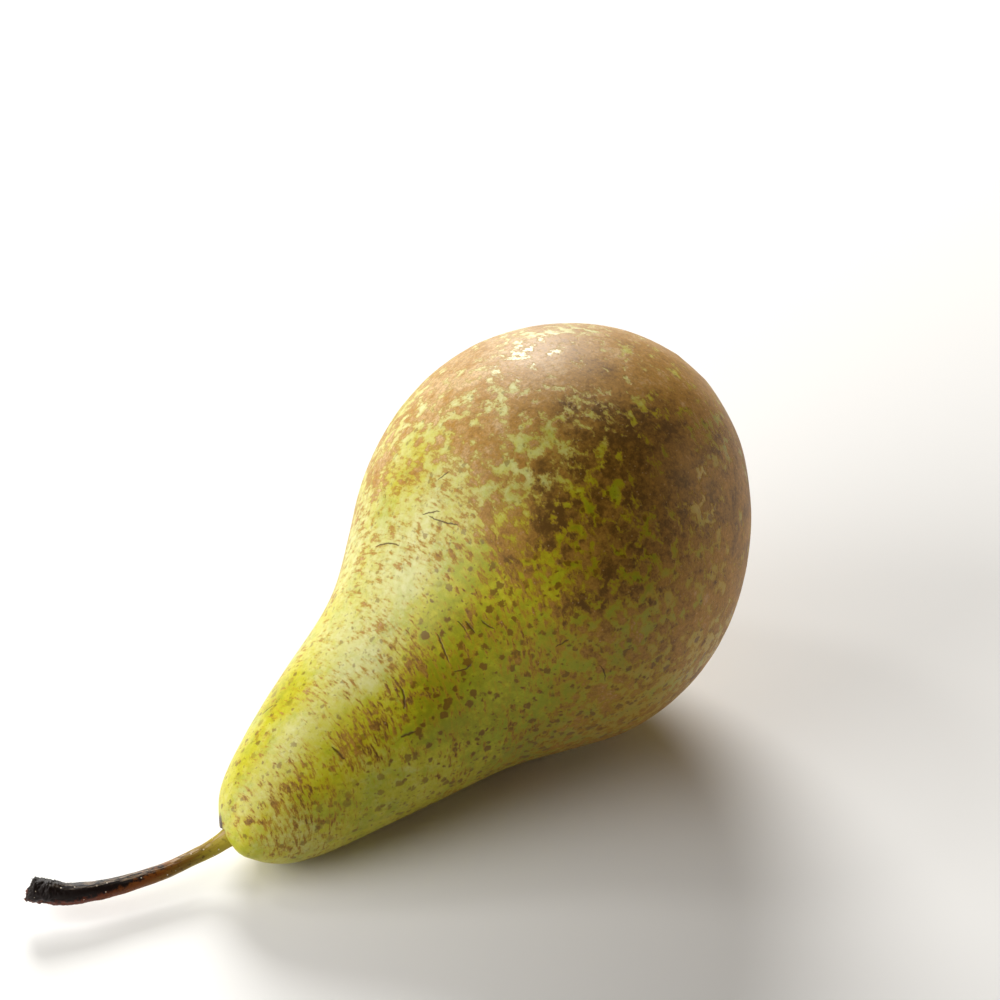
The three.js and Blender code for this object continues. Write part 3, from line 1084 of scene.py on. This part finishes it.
def rising(share, start, length):
    """0 before the start, 1 after the length, and even in between."""
    return np.clip((share - start) / length, 0, 1)


def swell_at(turn, run, woody, knob):
    """How far one place on the stem stands out, as a share of the radius."""
    circle = Vector((math.cos(turn), math.sin(turn), 0))
    folds, lumps, crags, crumbs = (
        noise.noise(circle * fine_round + Vector((seed, 0, run * fine_along)))
        for fine_round, fine_along, seed in (LONG_FOLDS, LUMPS, CRAGS, CRUMBS))
    return (FOLD_HEIGHT * folds * (FOLD_ON_YOUNG + woody)
            + LUMP_HEIGHT * lumps * (LUMP_ON_YOUNG + woody)
            + (CRAG_HEIGHT * crags + CRUMB_HEIGHT * crumbs) * knob
            + CRUMB_ON_WOOD * crumbs * woody)


def stem_places():
    """The stem's rings: smooth at the foot, folded lengthwise, and craggy at the slanted knob."""
    ahead, sideways, upwards = stem_frames()
    share = np.linspace(0, 1, STEM_RINGS)
    radius = np.interp(share, np.linspace(0, 1, len(STEM_RADII)), STEM_RADII) * MM
    round_way = (np.cos(stem_turns)[None, :, None] * sideways[:, None]
                 + np.sin(stem_turns)[None, :, None] * upwards[:, None])
    woody, knob = rising(share, *WOODY_PART), rising(share, *KNOB_PART)
    places = np.empty((STEM_RINGS, STEM_SIDES, 3))
    for ring in range(STEM_RINGS):
        run = share[ring] * PATTERN_LENGTH
        for step in range(STEM_SIDES):
            swell = swell_at(stem_turns[step], run, woody[ring], knob[ring])
            size = radius[ring] * (1 + swell - KNOB_WASTE * knob[ring])
            places[ring, step] = stem_line[ring] + size * round_way[ring, step]
    upper_side = (1 + np.sin(stem_turns)) / 2
    cut_back = KNOB_SLANT * np.outer(rising(share, *SLANTED_PART), upper_side)
    return places - cut_back[..., None] * ahead[:, None]


stem_rings = stem_places()
print("stem:", stem_rings.shape[0], "rings")

# %% [markdown]
# ## The broken end
#
# The knob is where the stalk tore away from its branch, so its face is rough and a few splinters
# stand out of it. Closing the tube with one flat face would look sawn. So the end is closed by
# ever smaller rings that noise lifts and lowers, and each splinter is a thin three-sided spike.

# %% Close the ends and add splinters
# Each end: its number of rings, how rough it is, and a seed.
KNOB_CAP = (14, 0.40 * MM, 5)
FOOT_CAP = (6, 0, 1)
COARSE_BREAK, FINE_BREAK, FINE_BREAK_WEIGHT = 0.7 * MM, 0.3 * MM, 0.6
CAP_DOME = 0.25 * MM
# Each row: degrees round the broken face, length along the stem and lean outwards, in mm.
SPLINTERS = ((75, 0.5, 1.1), (200, 0.9, 0.3), (150, 0.8, 0.1), (20, 0.6, 0.5), (300, 0.5, 0.2))
SPLINTER_WIDTH = 0.16 * MM
# Where a splinter stands, as a share of the way from the face's middle to its edge.
SPLINTER_SEAT = 0.8


def end_cap(centre, edge, away, rings, roughness, seed):
    """Rings that close the stem's end with a broken face."""
    caps = []
    for ring in range(1, rings):
        share = 1 - ring / rings
        places = centre + (edge - centre) * share
        lift = (noise_over(places, COARSE_BREAK, seed)
                + FINE_BREAK_WEIGHT * noise_over(places, FINE_BREAK, seed))
        dome = CAP_DOME * (1 - share ** 2)
        caps.append(places + away * (dome + roughness * lift)[:, None])
    return caps


def add_splinter(places, faces, root, point):
    """Adds a thin three-sided spike from its root to its point."""
    run = (point - root) / np.linalg.norm(point - root)
    aside = np.cross(run, STEM_TOP)
    aside /= np.linalg.norm(aside)
    upright = np.cross(aside, run)
    first = len(places)
    for part in range(3):
        turn = part * 2 * math.pi / 3
        way = math.cos(turn) * aside + math.sin(turn) * upright
        places.append(root + SPLINTER_WIDTH * way)
    places.append(point)
    faces += [[first, first + 1, first + 3], [first + 1, first + 2, first + 3],
              [first + 2, first, first + 3], [first + 2, first + 1, first]]


knob_middle = stem_rings[-1].mean(axis=0)
stem_ahead = stem_frames()[0]
knob_cap = end_cap(knob_middle, stem_rings[-1], stem_ahead[-1], *KNOB_CAP)
foot_cap = end_cap(stem_line[0], stem_rings[0], -stem_ahead[0], *FOOT_CAP)
print("end rings:", len(knob_cap), "and", len(foot_cap))

# %% [markdown]
# ## The whole stem
#
# Rings and ends become one closed tube, so the stem is a single piece, as on the tree. The finish
# needs to know how far along and how high up on the stem each place is. That is easy to work out
# here, while the rings are at hand, so it is kept at the vertices as three numbers.

# %% Build the stem
TABLE_GAP = 0.1 * MM


def tube_faces(count):
    """The faces of a tube with so many rings, closed by one small face at either end."""
    ring, step = np.meshgrid(np.arange(count - 1), np.arange(STEM_SIDES), indexing="ij")
    here = (ring * STEM_SIDES + step).ravel()
    after = (ring * STEM_SIDES + (step + 1) % STEM_SIDES).ravel()
    sides = np.stack([here, here + STEM_SIDES, after + STEM_SIDES, after], axis=1).tolist()
    last = (count - 1) * STEM_SIDES
    foot = list(range(STEM_SIDES))
    end = list(range(last + STEM_SIDES - 1, last - 1, -1))
    return sides + [foot, end]


def build_stem():
    """The stem as one piece, with its place along, its height and its side at each vertex."""
    all_rings = np.array(foot_cap[::-1] + list(stem_rings) + knob_cap)
    count = len(all_rings)
    tube = all_rings.reshape(-1, 3)
    tube[:, 2] = np.maximum(tube[:, 2], TABLE_GAP)
    places, faces = list(tube), tube_faces(count)
    for turn, length, lean in SPLINTERS:
        edge = stem_rings[-2][int(turn / 360 * STEM_SIDES)]
        root = knob_middle + SPLINTER_SEAT * (edge - knob_middle)
        away = (edge - knob_middle) / np.linalg.norm(edge - knob_middle)
        add_splinter(places, faces, root, root + MM * (length * stem_ahead[-1] + lean * away))
    mesh = bpy.data.meshes.new("stem")
    mesh.from_pydata([list(place) for place in places], [], faces)
    mesh.update()
    for name, values in (
        ("along", np.repeat(np.linspace(0, 1, count), STEM_SIDES)),
        ("upper", np.tile(np.sin(stem_turns), count)),
        ("aside", np.tile(np.cos(stem_turns), count)),
    ):
        on_splinters = np.full(len(places) - len(tube), values[-1])
        store(mesh, name, np.append(values, on_splinters))
    return new_piece("stem_wood", mesh, "stem")


stem = build_stem()
print("stem:", len(stem.data.polygons), "faces")

# %% [markdown]
# ## The stem's finish
#
# A stem is green where it grows out of the fruit, and goes through olive and rust to a dark red
# brown and almost black at the knob, with dark flecks, pale dots and a pale strip on top that is
# dry bark and painted highlight.
# Four separate materials would meet in hard rings. So one material fades through the colours by
# the place along the stem, and noise drawn out along the fibres moves each border to and fro.

# %% Stem finish
STEM_GREEN = colour(166, 149, 42)
STEM_OLIVE = colour(132, 104, 34)
STEM_RUST = colour(122, 66, 14)
STEM_RED = colour(96, 40, 18)
STEM_BLACK = colour(22, 12, 9)
DRY_BARK_AND_HIGHLIGHT = colour(186, 160, 132)
STEM_SPECK = colour(226, 212, 188)
# Fibres: how fine the noise is round the stem and along its whole length.
FIBRE_ROUND, FIBRE_ALONG = 2.2, 9.0
WANDER_CLOUD, WANDER_WEIGHT, TOP_WEIGHT = (1.0, 5, 0.65), 0.45, 0.07
OLIVE_SPAN, RUST_SPAN, RED_SPAN = (0.24, 0.42), (0.38, 0.56), (0.56, 0.78)
# What darkens the wood: its place along, its height and a fleck of noise.
CHAR_ALONG, CHAR_ON_TOP, CHAR_IN_FLECKS = 1.4, 0.45, 1.1
CHAR_CLOUD, CHAR_SPAN = (0.8, 5, 0.65, 5), (1.50, 1.75)
FLECK_CLOUD, FLECK_SPAN = (0.6, 4, 0.6, 8), (0.56, 0.68)
FLECKS_ALONG = (0.1, 0.5, 0.35, 0.8)
# The pale strip along the top is dry bark and painted highlight.
BARK_HIGHLIGHT_TOP, BARK_HIGHLIGHT_CLOUD, BARK_HIGHLIGHT_SPAN = (0.80, 0.98), (0.5, 4, 0.6, 12), (0.48, 0.60)
BARK_HIGHLIGHT_ALONG = (0.95, 0.6, 0.0, 0.6)
PALE_DOT_SPACING, PALE_DOT_SPAN, PALE_DOT_STRENGTH = 1.5, (0.10, 0.06), 0.8
STEM_ROUGHNESS, STEM_GLOSS = 0.46, 0.18
FIBRE_BUMPS, FIBRE_DEPTH = (0.35, 5, 0.65, 2), 0.12 * MM


def stem_finish():
    """Green to near-black wood with flecks, a top strip of dry bark and painted highlight, dots,
    fibres.
    """
    mix = Recipe("stem wood")
    spot = mix.spot()
    share, upper = mix.attribute("along"), mix.attribute("upper")
    fibre = mix.step("CombineXYZ", {
        0: mix.times(mix.attribute("aside"), FIBRE_ROUND), 1: mix.times(upper, FIBRE_ROUND),
        2: mix.times(share, FIBRE_ALONG),
    })
    wander = mix.waves(fibre, *WANDER_CLOUD)
    fleck = mix.cloud(spot, *CHAR_CLOUD)
    place = mix.plus(share, wander, WANDER_WEIGHT)
    place = mix.plus(place, upper, TOP_WEIGHT)
    base = mix.blend(mix.soft_step(place, *OLIVE_SPAN), STEM_GREEN, STEM_OLIVE)
    base = mix.blend(mix.soft_step(place, *RUST_SPAN), base, STEM_RUST)
    base = mix.blend(mix.soft_step(place, *RED_SPAN), base, STEM_RED)
    charred = mix.plus(mix.times(share, CHAR_ALONG), upper, CHAR_ON_TOP)
    charred = mix.plus(charred, fleck, CHAR_IN_FLECKS)
    base = mix.blend(mix.soft_step(charred, *CHAR_SPAN), base, STEM_BLACK)
    dark_fleck = mix.soft_step(mix.cloud(spot, *FLECK_CLOUD), *FLECK_SPAN)
    fleck_strength = mix.soft_step(share, *FLECKS_ALONG)
    base = mix.blend(mix.times(dark_fleck, fleck_strength), base, STEM_BLACK)
    # A pale strip along the top: dry bark and painted highlight.
    on_top = mix.soft_step(upper, *BARK_HIGHLIGHT_TOP)
    bark_and_highlight = mix.times(on_top, mix.soft_step(mix.cloud(fibre, *BARK_HIGHLIGHT_CLOUD), *BARK_HIGHLIGHT_SPAN))
    bark_highlight_strength = mix.soft_step(share, *BARK_HIGHLIGHT_ALONG)
    base = mix.blend(mix.times(bark_and_highlight, bark_highlight_strength), base, DRY_BARK_AND_HIGHLIGHT)
    dot = mix.soft_step(mix.cells(spot, PALE_DOT_SPACING), *PALE_DOT_SPAN)
    mix.set("Base Color", mix.blend(mix.times(dot, PALE_DOT_STRENGTH), base, STEM_SPECK))
    mix.set("Roughness", STEM_ROUGHNESS)
    mix.set("Specular IOR Level", STEM_GLOSS)
    mix.raised(mix.sum("ADD", mix.cloud(fibre, *FIBRE_BUMPS), fleck), FIBRE_DEPTH)
    return mix.material


stem.data.materials.append(stem_finish())
print("stem finish:", len(stem.data.materials[0].node_tree.nodes), "steps")

# %% [markdown]
# ## The calyx
#
# The calyx is what remains of the flower: five dry pointed sepals round a small cup, at the end
# of the fruit away from the stem. Each sepal is a thin pointed leaf that curls out and back, with
# its edges cupped inwards. It could be cut from a flat sheet and bent with modifiers. Here each
# place on it is worked out at once, because then one short function makes five unlike leaves.

# %% The calyx's sheets
SEPALS = 5
# Distance along and distance out, in mm, from the sepal's root to its point.
SEPAL_COURSE = ((105.4, 1.9), (106.9, 3.0), (108.2, 4.3), (109.5, 5.1), (110.5, 4.7))
SEPAL_HALF_WIDTHS = (1.25, 1.45, 1.3, 0.85, 0.12)
SEPAL_STEPS, SEPAL_ACROSS = 30, 15
# How far the edges stand forward, and how much of that also draws the sepal inwards.
SEPAL_CUPPING, CUPPING_INWARDS = 0.5, 0.6
SEPAL_SWAY, SHORTEST_SEPAL = 0.12, 0.82
SEPAL_BEND, SEPAL_BEND_PACE = 0.25, 4
CRUMPLE_SIZE, CRUMPLE_DEPTH, CRUMPLE_SEED = 1.3 * MM, 0.22 * MM, 20
CUP_COURSE = (
    (103.1, 0.3), (103.4, 1.5), (104.6, 2.0), (105.8, 2.15), (106.6, 2.1), (106.9, 1.75),
)
CUP_STEPS, CUP_SIDES = 26, 60
# Each row: waves round the cup's wall, their height as a share of its radius, and their start.
CUP_WAVES = ((5, 0.05, 0), (13, 0.03, 1))
calyx_centre = blossom - (blossom - tip).dot(axis) * axis
fold_rng = np.random.default_rng(12)


def fruit_places(along_mm, out_mm, turn):
    """Places at distances along, distances out and turns round the calyx's centre."""
    out = np.cos(turn)[..., None] * np.array(side) + np.sin(turn)[..., None] * np.array(over)
    return (np.array(calyx_centre) + np.asarray(along_mm)[..., None] * MM * np.array(axis)
            + np.asarray(out_mm)[..., None] * MM * out)


def sepal_sheet(number):
    """A pointed leaf whose edges cup inwards and whose surface is crumpled by drying."""
    turn = number * 2 * math.pi / SEPALS + fold_rng.uniform(-SEPAL_SWAY, SEPAL_SWAY)
    length = fold_rng.uniform(SHORTEST_SEPAL, 1.0)
    course = smooth_line([(*point, 0) for point in SEPAL_COURSE], SEPAL_STEPS)
    share = np.linspace(0, length, SEPAL_STEPS)
    along_mm = np.interp(share, np.linspace(0, 1, SEPAL_STEPS), course[:, 0])[:, None]
    out_mm = np.interp(share, np.linspace(0, 1, SEPAL_STEPS), course[:, 1])[:, None]
    widths_at = np.linspace(0, 1, len(SEPAL_HALF_WIDTHS))
    half = np.interp(share / length, widths_at, SEPAL_HALF_WIDTHS)
    reach_across = np.linspace(-1, 1, SEPAL_ACROSS)[None, :]
    bend = SEPAL_BEND * np.sin(SEPAL_BEND_PACE * share + number)
    across = half[:, None] * reach_across + bend[:, None]
    cup = SEPAL_CUPPING * half[:, None] * reach_across ** 2
    out_here = out_mm - cup * CUPPING_INWARDS
    distance = np.hypot(out_here, across)
    turn_here = turn + np.arctan2(across, out_here)
    sheet = fruit_places(along_mm + cup, distance, turn_here)
    seed = number + CRUMPLE_SEED
    crumple = noise_over(sheet.reshape(-1, 3), CRUMPLE_SIZE, seed).reshape(sheet.shape[:2])
    return sheet + CRUMPLE_DEPTH * crumple[..., None] * np.array(axis)


def cup_sheet():
    """The small cup that the sepals stand round, with a wavy wall."""
    course = smooth_line([(*point, 0) for point in CUP_COURSE], CUP_STEPS)
    turn = np.arange(CUP_SIDES + 1) * 2 * math.pi / CUP_SIDES
    wavy = 1
    for count, height, start in CUP_WAVES:
        wavy = wavy + height * np.sin(count * turn + start)
    return fruit_places(
        np.repeat(course[:, :1], CUP_SIDES + 1, axis=1), course[:, 1:2] * wavy,
        np.repeat(turn[None], CUP_STEPS, axis=0))


print(SEPALS, "sepals of", len(SEPAL_COURSE), "points each")

# %% [markdown]
# ## The stamens
#
# Inside the cup stands a tuft of dead stamens: hair-thin stalks, each with a small swollen head.
# Blender's hair would be quicker, but it isn't a solid mesh and wouldn't leave with the model. So
# each stamen is a thin tube. Their places, heights and leans are drawn at random from one seed,
# so the tuft looks wild and still comes out the same every time.

# %% The stamens, and the whole calyx
STAMENS = 20
STAMEN_STEPS, STAMEN_SIDES = 12, 8
# Where a stamen starts, along the fruit in mm, and the ranges its other measures are drawn from.
STAMEN_FOOT = 104.0
STAMEN_OUT, STAMEN_HEIGHT, STAMEN_LEAN = (0.2, 1.35), (1.9, 3.9), (-0.5, 1.3)
STAMEN_TWIST = 0.5
# Radii in mm, and where along the stalk the head sits and how long it is.
STALK_RADIUS, HEAD_SWELL, STAMEN_POINT = 0.11, 0.13, 0.01
HEAD_PLACE, HEAD_LENGTH = 0.93, 0.06
DRY_THICKNESS = 0.28 * MM
SAME_PLACE = 0.005 * MM
# Where the calyx begins along the fruit, and how long it is, in mm.
CALYX_FOOT, CALYX_LENGTH = 104, 7


def stamen_sheet():
    """A dead stamen: a thin bent stalk with a small swollen head, as a closed tube's surface."""
    turn, start_out = fold_rng.uniform(0, 2 * math.pi), fold_rng.uniform(*STAMEN_OUT)
    height, lean = fold_rng.uniform(*STAMEN_HEIGHT), fold_rng.uniform(*STAMEN_LEAN)
    share = np.linspace(0, 1, STAMEN_STEPS)
    twist = STAMEN_TWIST * share * fold_rng.uniform(-1, 1)
    line = fruit_places(STAMEN_FOOT + height * share, start_out + lean * share ** 2, turn + twist)
    head = np.exp(-((share - HEAD_PLACE) / HEAD_LENGTH) ** 2)
    thickness = STALK_RADIUS + HEAD_SWELL * head
    thickness[[0, -1]] = STAMEN_POINT
    turns = np.arange(STAMEN_SIDES + 1) * 2 * math.pi / STAMEN_SIDES
    circle = np.cos(turns)[:, None] * np.array(side) + np.sin(turns)[:, None] * np.array(over)
    return line[:, None] + thickness[:, None, None] * MM * circle[None]


def add_sheet(form, sheet):
    """Adds a grid of places as faces."""
    rows, columns = sheet.shape[:2]
    corners = [form.verts.new(place) for place in sheet.reshape(-1, 3)]
    for row in range(rows - 1):
        for column in range(columns - 1):
            first = row * columns + column
            form.faces.new([corners[first + part] for part in (0, 1, columns + 1, columns)])


def build_calyx():
    """Sepals and cup, given their thickness, with the stamens inside, as one piece."""
    form = bmesh.new()
    for sheet in [sepal_sheet(number) for number in range(SEPALS)] + [cup_sheet()]:
        add_sheet(form, sheet)
    bmesh.ops.solidify(form, geom=form.faces[:], thickness=DRY_THICKNESS)
    for _ in range(STAMENS):
        add_sheet(form, stamen_sheet())
    bmesh.ops.remove_doubles(form, verts=form.verts, dist=SAME_PLACE)
    bmesh.ops.recalc_face_normals(form, faces=form.faces)
    mesh = bpy.data.meshes.new("calyx")
    form.to_mesh(mesh)
    form.free()
    places = np.array([vertex.co for vertex in mesh.vertices])
    store(mesh, "along", rising(along_of(places) / MM, CALYX_FOOT, CALYX_LENGTH))
    return new_piece("calyx_dry", mesh, "calyx")


calyx = build_calyx()
print("calyx:", len(calyx.data.polygons), "faces")

# %% [markdown]
# ## The calyx's finish
#
# The calyx is dead, dry tissue: dark in the cup, brown and papery on the sepals, paler at their
# points, and without any shine. Two browns in cloudy patches are enough, because the piece is
# small and what one sees of it is mostly its curled outline.

# %% Calyx finish
CALYX_DARK = colour(46, 34, 26)
CALYX_BROWN = colour(98, 72, 48)
CALYX_TIP = colour(132, 106, 78)
BROWN_CLOUD, BROWN_SPAN = (1.2, 4, 0.6), (0.4, 0.62)
TIP_SPAN = (0.55, 1.0, 0.0, 0.6)
CALYX_ROUGHNESS = 0.85
PAPER_BUMPS, PAPER_DEPTH = (0.4, 4, 0.6, 2), 0.08 * MM


def calyx_finish():
    """Dull dark and brown patches, paler towards the points, with a papery grain."""
    mix = Recipe("dry calyx")
    spot = mix.spot()
    patch = mix.soft_step(mix.cloud(spot, *BROWN_CLOUD), *BROWN_SPAN)
    base = mix.blend(patch, CALYX_DARK, CALYX_BROWN)
    near_tip = mix.soft_step(mix.attribute("along"), *TIP_SPAN)
    mix.set("Base Color", mix.blend(near_tip, base, CALYX_TIP))
    mix.set("Roughness", CALYX_ROUGHNESS)
    mix.raised(mix.cloud(spot, *PAPER_BUMPS), PAPER_DEPTH)
    return mix.material


calyx.data.materials.append(calyx_finish())
print("calyx finish:", len(calyx.data.materials[0].node_tree.nodes), "steps")

# %% [markdown]
# ## Table and light
#
# The fruit lies on a plain pale table in a bright studio. A near lamp at the left lights the whole
# side softly, and a small high one gives the skin its shine. A strong lamp behind and above lights
# the top, and a warm one at the right draws the far edge of the belly. An even sky of light would
# be simpler, but it shows no form. So the sky is kept almost dark, and the pale table throws back
# what the underside needs.

# %% Table and light
TABLE_SIZE = 6.0
TABLE_COLOUR, TABLE_ROUGHNESS = (0.86, 0.86, 0.86, 1), 0.9
CAMERA_WAYS = camera.matrix_world.to_3x3()
# Each row: the way to the light from the fruit (right, up, towards the camera), its distance and
# size in metres, its power in watts, and its colour.
LIGHTS = {
    "left": ((-0.84, 0.14, 0.52), 0.32, 0.32, 1.06, (1.0, 0.98, 0.94)),
    "high": ((-0.60, 0.75, 0.15), 1.0, 0.2, 0.98, (1.0, 0.98, 0.94)),
    "back": ((-0.15, 0.90, -0.43), 1.0, 0.5, 14.2, (1.0, 0.99, 0.96)),
    "rim": ((0.95, 0.25, -0.10), 1.0, 0.4, 2.8, (1.0, 0.76, 0.48)),
}
WORLD_LIGHT = 0.02


def add_table():
    """A plain square table top, far larger than the view."""
    form = bmesh.new()
    bmesh.ops.create_grid(form, x_segments=1, y_segments=1, size=TABLE_SIZE / 2)
    mesh = bpy.data.meshes.new("table")
    form.to_mesh(mesh)
    form.free()
    table = bpy.data.objects.new("table", mesh)
    bpy.context.scene.collection.objects.link(table)
    mix = Recipe("pale table")
    mix.set("Base Color", TABLE_COLOUR)
    mix.set("Roughness", TABLE_ROUGHNESS)
    mesh.materials.append(mix.material)


def add_light(name, way, distance, size, power, tint):
    """A round soft lamp that faces the fruit."""
    light = bpy.data.lights.new(name, "AREA")
    light.shape = "DISK"
    light.size = size
    light.energy = power
    light.color = tint
    lamp = bpy.data.objects.new(name, light)
    towards = (CAMERA_WAYS @ Vector(way)).normalized()
    lamp.location = LOOKED_AT + distance * towards
    lamp.rotation_euler = towards.to_track_quat("Z", "Y").to_euler()
    bpy.context.scene.collection.objects.link(lamp)


def add_surroundings():
    """A weak even light from all round, and colours shown plainly."""
    world = bpy.data.worlds.new("studio")
    bpy.context.scene.world = world
    world.use_nodes = True
    world.node_tree.nodes["Background"].inputs["Strength"].default_value = WORLD_LIGHT
    world.node_tree.nodes["Background"].inputs["Color"].default_value = (1, 1, 1, 1)
    bpy.context.scene.view_settings.view_transform = "Standard"


add_table()
for name, settings in LIGHTS.items():
    add_light(name, *settings)
add_surroundings()
print(len(LIGHTS), "lights")
